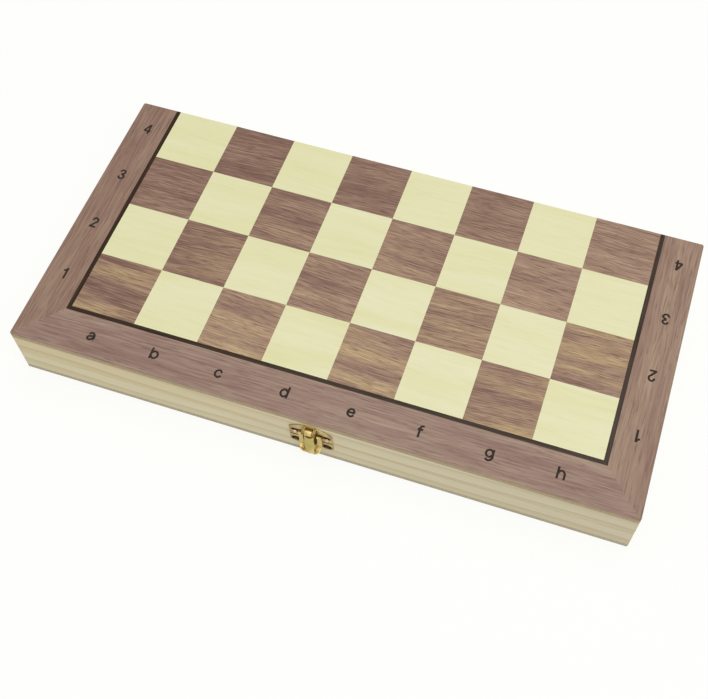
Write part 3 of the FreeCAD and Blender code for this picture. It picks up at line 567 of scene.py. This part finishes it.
# Latch tongue: a strip of brass sheet, pressed into a hollow bill, flared into a lip at its foot and rolled
# round the pin at its top. Millimetres, heights from the latch axis.
tongueLook = {
    "sheet": 0.8, "bore": 0.7, "strapHalfWidth": 1.65, "neckHalfWidth": 2.9, "halfWidth": 5.5, "lipHalfWidth": 4.3,
    "shoulder": -3.7, "shoulderRound": 1.0, "lipTop": -13.3, "lipReach": 2.3, "lipCurve": 1.4,
    "foot": -17.0, "footRound": 1.2, "footBow": 2.3, "billTop": -1.75, "billBrow": -3.1,
    "billDepth": (0.0, 1.5, 2.4), "billHalfWidth": (1.9, 2.7, 3.0), "billFlank": 0.5, "billCrown": 0.35,
    "joinSharpness": 6,  # how sharply the bill runs into the lip
    "columns": 34, "rows": 46, "rollTurn": 285, "rollSteps": 26, "topGap": 0.01, "mergeGap": 0.001,
}


def share(value, low, high):
    return min(max((value - low) / (high - low), 0.0), 1.0)


def tonguePoint(side, height):
    look = tongueLook
    corner = share(height, look["shoulder"] - look["shoulderRound"], look["shoulder"])
    lip = share(height, look["lipTop"], look["foot"])
    footCorner = share(height, look["foot"] + look["footRound"], look["foot"])
    rise = share(height, look["billTop"], look["billBrow"])
    half = look["strapHalfWidth"] + (look["neckHalfWidth"] - look["strapHalfWidth"]) * rise
    if height < look["shoulder"]:
        half = look["halfWidth"] - look["shoulderRound"] * (1 - math.sqrt(1 - corner ** 2))
    half -= (look["halfWidth"] - look["lipHalfWidth"]) * lip
    half -= look["footRound"] * (1 - math.sqrt(1 - footCorner ** 2))
    across = side * half
    top, brow, tip = look["billDepth"]
    fall = share(height, look["billBrow"], look["foot"])
    smoothRise = rise * rise * (3 - 2 * rise)
    depth = top + (brow - top) * smoothRise + (tip - brow) * fall
    topHalf, browHalf, tipHalf = look["billHalfWidth"]
    billHalf = topHalf + (browHalf - topHalf) * smoothRise + (tipHalf - browHalf) * fall
    flank = share(abs(across), billHalf, billHalf - look["billFlank"])
    bulge = depth * flank * flank * (3 - 2 * flank) * (1 - look["billCrown"] * (across / billHalf) ** 2)
    flare = look["lipReach"] * lip ** look["lipCurve"]
    join = look["joinSharpness"]
    forward = (bulge ** join + flare ** join) ** (1 / join)
    return across, forward, height + look["footBow"] * lip * side ** 2


def pressedTongue():
    axis, look = latchAxis, tongueLook
    bpy.ops.object.select_all(action="DESELECT")
    bpy.ops.mesh.primitive_grid_add(x_subdivisions=look["columns"], y_subdivisions=look["rows"], size=1)
    tongue = bpy.context.object
    tongue.name = "latch_tongue_pressed"
    for point in tongue.data.vertices:
        across, forward, height = tonguePoint(point.co.x * 2, look["foot"] * (0.5 - point.co.y))
        point.co = (across * mm, axis[1] + (look["bore"] - forward) * mm, axis[2] + height * mm)
    for point in tongue.data.vertices:
        point.select = point.co.z > axis[2] - look["topGap"] * mm
    for face in tongue.data.polygons:
        face.select = False
    for edge in tongue.data.edges:
        edge.select = all(tongue.data.vertices[end].select for end in edge.vertices)
    bpy.ops.object.mode_set(mode="EDIT")
    bpy.ops.mesh.select_mode(type="EDGE")
    bpy.ops.mesh.spin(steps=look["rollSteps"], angle=-math.radians(look["rollTurn"]),
                      center=axis, axis=(1, 0, 0))
    bpy.ops.mesh.select_all(action="SELECT")
    bpy.ops.mesh.remove_doubles(threshold=look["mergeGap"] * mm)
    bpy.ops.mesh.normals_make_consistent(inside=False)
    bpy.ops.object.mode_set(mode="OBJECT")
    flange = [face for face in tongue.data.polygons if face.center.z < axis[2] + look["shoulder"] * mm]
    if sum(face.normal.y for face in flange) > 0:  # the sheet's front faces forwards
        bpy.ops.object.mode_set(mode="EDIT")
        bpy.ops.mesh.select_all(action="SELECT")
        bpy.ops.mesh.flip_normals()
        bpy.ops.object.mode_set(mode="OBJECT")
    wall = tongue.modifiers.new("sheetThickness", "SOLIDIFY")
    wall.thickness = look["sheet"] * mm
    wall.offset = -1
    wall.use_even_offset = True
    bpy.ops.object.modifier_apply(modifier=wall.name)
    smoothing = tongue.modifiers.new("pressedSmooth", "SUBSURF")
    smoothing.levels = smoothing.render_levels = 1
    bpy.ops.object.modifier_apply(modifier=smoothing.name)
    bpy.ops.object.shade_smooth()
    tongue.data.materials.append(tongueBrass)
    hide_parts("latch_tongue")
    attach(tongue, "latch_tongue")


pressedTongue()
print("latch tongue done")


# Screen-printed coordinates: a thin film of dark brown ink, a little uneven
inkLook = {"dark": (0.35, "#221814"), "pale": (0.75, "#33271f"), "mottle": 0.9, "roughness": 0.6, "sheen": 0.2}


def printedInk(look):
    material, tree = newMaterial("printedInk")
    coords = addNode(tree, "ShaderNodeTexCoord").outputs["Object"]
    mottle = addNode(tree, "ShaderNodeTexNoise", inputs={
        "Vector": coords, "Scale": 1 / (look["mottle"] * mm), "Detail": 2.0}).outputs[0]
    colour = addNode(tree, "ShaderNodeValToRGB",
                     {"stops": [look["dark"], look["pale"]]}, {"Fac": mottle}).outputs[0]
    shader = addNode(tree, "ShaderNodeBsdfPrincipled", inputs={
        "Base Color": colour, "Roughness": look["roughness"], "Specular IOR Level": look["sheen"]})
    addNode(tree, "ShaderNodeOutputMaterial", inputs={"Surface": shader.outputs[0]})
    return material


# Glyphs drawn with a pen of one width, as centre lines. One unit is the height of a small letter's centre
# line; "round" strokes bend smoothly through their points, "straight" ones don't, and a "ring" closes.
coordinates = {
    "unit": 3.6 * mm, "pen": 1.0 * mm, "film": 0.02 * mm, "width": 0.88, "tall": 1.46,
    "letters": "abcdefgh", "upperRanks": "4321", "lowerRanks": "5678",
    "letterDrop": 1.75 * mm, "strokeLift": 0.01 * mm, "curveSteps": 10,
}
glyphStrokes = {
    "a": [("round", [(0.06, 0.76), (0.43, 1.0), (0.82, 0.7), (0.83, 0.0)]),
          ("round", [(0.82, 0.58), (0.40, 0.53), (0.03, 0.26), (0.33, 0.0), (0.82, 0.34)])],
    "b": [("straight", [(0.0, 1.46), (0.0, -0.14)]),
          ("round", [(0.0, 0.66), (0.44, 1.0), (0.88, 0.5), (0.44, 0.0), (0.0, 0.34)])],
    "c": [("round", [(0.84, 0.72), (0.45, 1.0), (0.0, 0.5), (0.45, 0.0), (0.84, 0.28)])],
    "d": [("straight", [(0.88, 1.46), (0.88, -0.14)]),
          ("round", [(0.88, 0.66), (0.44, 1.0), (0.0, 0.5), (0.44, 0.0), (0.88, 0.34)])],
    "e": [("straight", [(0.02, 0.52), (0.9, 0.52)]),
          ("round", [(0.89, 0.52), (0.45, 1.0), (0.0, 0.5), (0.45, 0.0), (0.84, 0.24)])],
    "f": [("round", [(0.78, 1.44), (0.55, 1.46), (0.36, 1.2), (0.36, 0.6), (0.36, -0.14)]),
          ("straight", [(0.06, 0.98), (0.74, 0.98)])],
    "g": [("round", [(0.86, 0.66), (0.44, 1.0), (0.0, 0.52), (0.44, 0.06), (0.86, 0.38)]),
          ("round", [(0.86, 1.12), (0.86, 0.5), (0.84, -0.12), (0.42, -0.42), (0.06, -0.24)])],
    "h": [("straight", [(0.02, 1.46), (0.02, -0.14)]),
          ("round", [(0.02, 0.62), (0.44, 1.0), (0.83, 0.68), (0.85, 0.3), (0.85, -0.14)])],
    "1": [("straight", [(0.55, 1.58), (0.55, -0.14)]), ("round", [(0.55, 1.46), (0.40, 1.24), (0.12, 1.06)])],
    "2": [("round", [(0.05, 1.04), (0.44, 1.46), (0.82, 1.06), (0.5, 0.56), (0.08, 0.02)]),
          ("straight", [(-0.04, 0.0), (0.88, 0.0)])],
    "3": [("round", [(0.06, 1.14), (0.42, 1.46), (0.78, 1.12), (0.36, 0.78)]),
          ("round", [(0.36, 0.78), (0.84, 0.4), (0.42, 0.0), (0.03, 0.36)])],
    "4": [("straight", [(0.64, 1.58), (0.64, -0.14)]), ("straight", [(0.62, 1.5), (0.02, 0.42)]),
          ("straight", [(-0.06, 0.36), (0.94, 0.36)])],
    "5": [("straight", [(0.84, 1.46), (0.1, 1.46)]), ("straight", [(0.17, 1.56), (0.07, 0.64)]),
          ("round", [(0.06, 0.72), (0.44, 0.94), (0.84, 0.47), (0.4, 0.0), (0.02, 0.36)])],
    "6": [("round", [(0.8, 1.16), (0.46, 1.46), (0.1, 1.1), (0.02, 0.5), (0.42, 0.0), (0.84, 0.46),
                     (0.44, 0.9), (0.04, 0.52)])],
    "7": [("straight", [(0.0, 1.46), (0.88, 1.46)]), ("round", [(0.84, 1.42), (0.48, 0.8), (0.3, -0.14)])],
    "8": [("ring", [(0.42, 1.46), (0.76, 1.14), (0.42, 0.8), (0.08, 1.14)]),
          ("ring", [(0.42, 0.8), (0.86, 0.4), (0.42, 0.0), (0.0, 0.4)])],
}


def printedGlyph(glyph, place, quarterTurns, faceDown):
    bpy.ops.object.select_all(action="DESELECT")
    bpy.ops.curve.primitive_bezier_curve_add(location=(0, 0, 0))
    drawn = bpy.context.object
    line = drawn.data
    line.splines.clear()
    line.dimensions = "3D"
    line.twist_mode = "Z_UP"
    line.resolution_u = coordinates["curveSteps"]
    line.bevel_depth = coordinates["film"]
    line.bevel_resolution = 0
    line.extrude = coordinates["pen"] / 2 - coordinates["film"]
    line.use_fill_caps = True
    middle = (coordinates["width"] / 2, 0 if glyph.isalpha() else coordinates["tall"] / 2)
    for layer, (kind, points) in enumerate(glyphStrokes[glyph]):
        stroke = line.splines.new("BEZIER")
        stroke.bezier_points.add(len(points) - 1)
        stroke.use_cyclic_u = kind == "ring"
        for knot, (across, up) in zip(stroke.bezier_points, points):
            flat = [(value - centre) * coordinates["unit"] for value, centre in zip((across, up), middle)]
            knot.co = [*flat, layer * coordinates["strokeLift"]]
            knot.handle_left_type = knot.handle_right_type = "VECTOR" if kind == "straight" else "AUTO"
            knot.tilt = math.pi / 2  # lays the ribbon flat
    drawn.rotation_euler = (math.pi if faceDown else 0, 0, quarterTurns * math.pi / 2)
    drawn.location = place
    bpy.ops.object.convert(target="MESH")
    bpy.ops.object.transform_apply(location=True, rotation=True, scale=True)
    return bpy.context.object


def printedCoordinates(half):
    front, left, right = (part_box(f"{half}_border_{strip}") for strip in ("front", "left", "right"))
    faceDown = half == "lower"
    height = front[0].z if faceDown else front[1].z
    letterTurns = 2 if faceDown else 0
    letterRow = (front[0].y + front[1].y) / 2 - coordinates["letterDrop"]
    glyphs = []
    for file, letter in enumerate(coordinates["letters"]):
        fileColumn = chessField[0].x + (file + 0.5) * square
        glyphs.append(printedGlyph(letter, (fileColumn, letterRow, height), letterTurns, faceDown))
    ranks = coordinates["lowerRanks"] if faceDown else coordinates["upperRanks"]
    for step, rank in enumerate(ranks):
        rankRow = chessField[0].y + (len(ranks) - step - 0.5) * square
        for strip, turns in ((left, 0), (right, 2)):
            column = (strip[0].x + strip[1].x) / 2
            glyphs.append(printedGlyph(rank, (column, rankRow, height), turns, faceDown))
    bpy.ops.object.select_all(action="DESELECT")
    for glyph in glyphs:
        glyph.select_set(True)
    bpy.context.view_layer.objects.active = glyphs[0]
    bpy.ops.object.join()
    printed = bpy.context.object
    printed.name = f"{half}_coordinates"
    printed.data.materials.clear()
    printed.data.materials.append(ink)
    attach(printed, halves[half])


ink = printedInk(inkLook)
for half in halves:
    printedCoordinates(half)
print("coordinates done")


# Stage: pale floor that stays white in the picture and keeps the board's shadow
stageLook = {
    "floorSize": 6.0, "floorDrop": 0.05 * mm, "floorColour": "#fcfcf8", "white": "#fffffd",
    "shadowShare": 0.12, "shadowReach": (0.35, 0.8), "room": "#ffffff", "roomStrength": 0.413,
}
lampLook = {  # place and size in metres, power in watts; all point at the middle of the board
    "keyLamp": ((0.9, -0.7, 1.6), 1.2, 12.85),
    "fillLamp": ((-1.2, -0.4, 1.2), 1.4, 3.67),
    "overheadLamp": ((0.1, 0.5, 1.6), 1.4, 8.26),
}


def seenDirectly(tree):
    path = addNode(tree, "ShaderNodeLightPath")
    seen = path.outputs["Is Camera Ray"]
    for kind in ("Is Glossy Ray", "Is Transmission Ray"):
        seen = addNode(tree, "ShaderNodeMath", {"operation": "MAXIMUM"},
                       {0: seen, 1: path.outputs[kind]}).outputs[0]
    return seen


def paleFloor(look):
    bpy.ops.object.select_all(action="DESELECT")
    bpy.ops.mesh.primitive_plane_add(size=look["floorSize"], location=(0, 0, -look["floorDrop"]))
    floor = bpy.context.object
    floor.name = "floor"
    material, tree = newMaterial("paleFloor")
    seen = seenDirectly(tree)
    coords = addNode(tree, "ShaderNodeTexCoord").outputs["Object"]
    distance = addNode(tree, "ShaderNodeVectorMath", {"operation": "LENGTH"}, {0: coords}).outputs["Value"]
    paleness = addNode(tree, "ShaderNodeMapRange", inputs={
        "Value": distance, "From Min": look["shadowReach"][0], "From Max": look["shadowReach"][1],
        "To Min": 1 - look["shadowShare"], "To Max": 1.0}).outputs[0]
    whiteShare = addNode(tree, "ShaderNodeMath", {"operation": "MULTIPLY"}, {0: seen, 1: paleness}).outputs[0]
    lit = addNode(tree, "ShaderNodeBsdfDiffuse", inputs={"Color": linear(look["floorColour"])}).outputs[0]
    white = addNode(tree, "ShaderNodeEmission", inputs={
        "Color": linear(look["white"]), "Strength": 1.0}).outputs[0]
    both = addNode(tree, "ShaderNodeMixShader", inputs={0: whiteShare, 1: lit, 2: white}).outputs[0]
    addNode(tree, "ShaderNodeOutputMaterial", inputs={"Surface": both})
    floor.data.materials.append(material)


def softWorld(look):
    world = bpy.data.worlds.new("softRoom")
    bpy.context.scene.world = world
    world.use_nodes = True
    tree = world.node_tree
    tree.nodes.clear()
    seen = seenDirectly(tree)
    room = addNode(tree, "ShaderNodeBackground", inputs={
        "Color": linear(look["room"]), "Strength": look["roomStrength"]}).outputs[0]
    white = addNode(tree, "ShaderNodeBackground", inputs={
        "Color": linear(look["white"]), "Strength": 1.0}).outputs[0]
    both = addNode(tree, "ShaderNodeMixShader", inputs={0: seen, 1: room, 2: white}).outputs[0]
    addNode(tree, "ShaderNodeOutputWorld", inputs={"Surface": both})


def softLamp(name, place, size, power):
    bpy.ops.object.light_add(type="AREA", location=place)
    lamp = bpy.context.object
    lamp.name = name
    lamp.data.shape = "DISK"
    lamp.data.size = size
    lamp.data.energy = power
    flat = math.hypot(place[0], place[1])
    lamp.rotation_euler = (math.atan2(flat, place[2]), 0, math.atan2(place[0], -place[1]))


paleFloor(stageLook)
softWorld(stageLook)
for name, (place, size, power) in lampLook.items():
    softLamp(name, place, size, power)
print("stage done")

# Camera, fitted to the corners of the board and its squares: millimetres and degrees
cameraFit = {
    "place": (99.73, -266.59, 454.70), "turn": (30.132, 0.304, 18.368), "focalLength": 55.736, "sensor": 36.0,
    "shift": (-0.04, 0.0127), "clipStart": 10,
}
bpy.ops.object.camera_add(location=[value * mm for value in cameraFit["place"]],
                          rotation=[math.radians(angle) for angle in cameraFit["turn"]])
camera = bpy.context.object
camera.data.sensor_width = cameraFit["sensor"]
camera.data.lens = cameraFit["focalLength"]
camera.data.shift_x, camera.data.shift_y = cameraFit["shift"]
camera.data.clip_start = cameraFit["clipStart"] * mm
bpy.context.scene.camera = camera
bpy.context.scene.view_settings.view_transform = "Standard"
print("camera done")
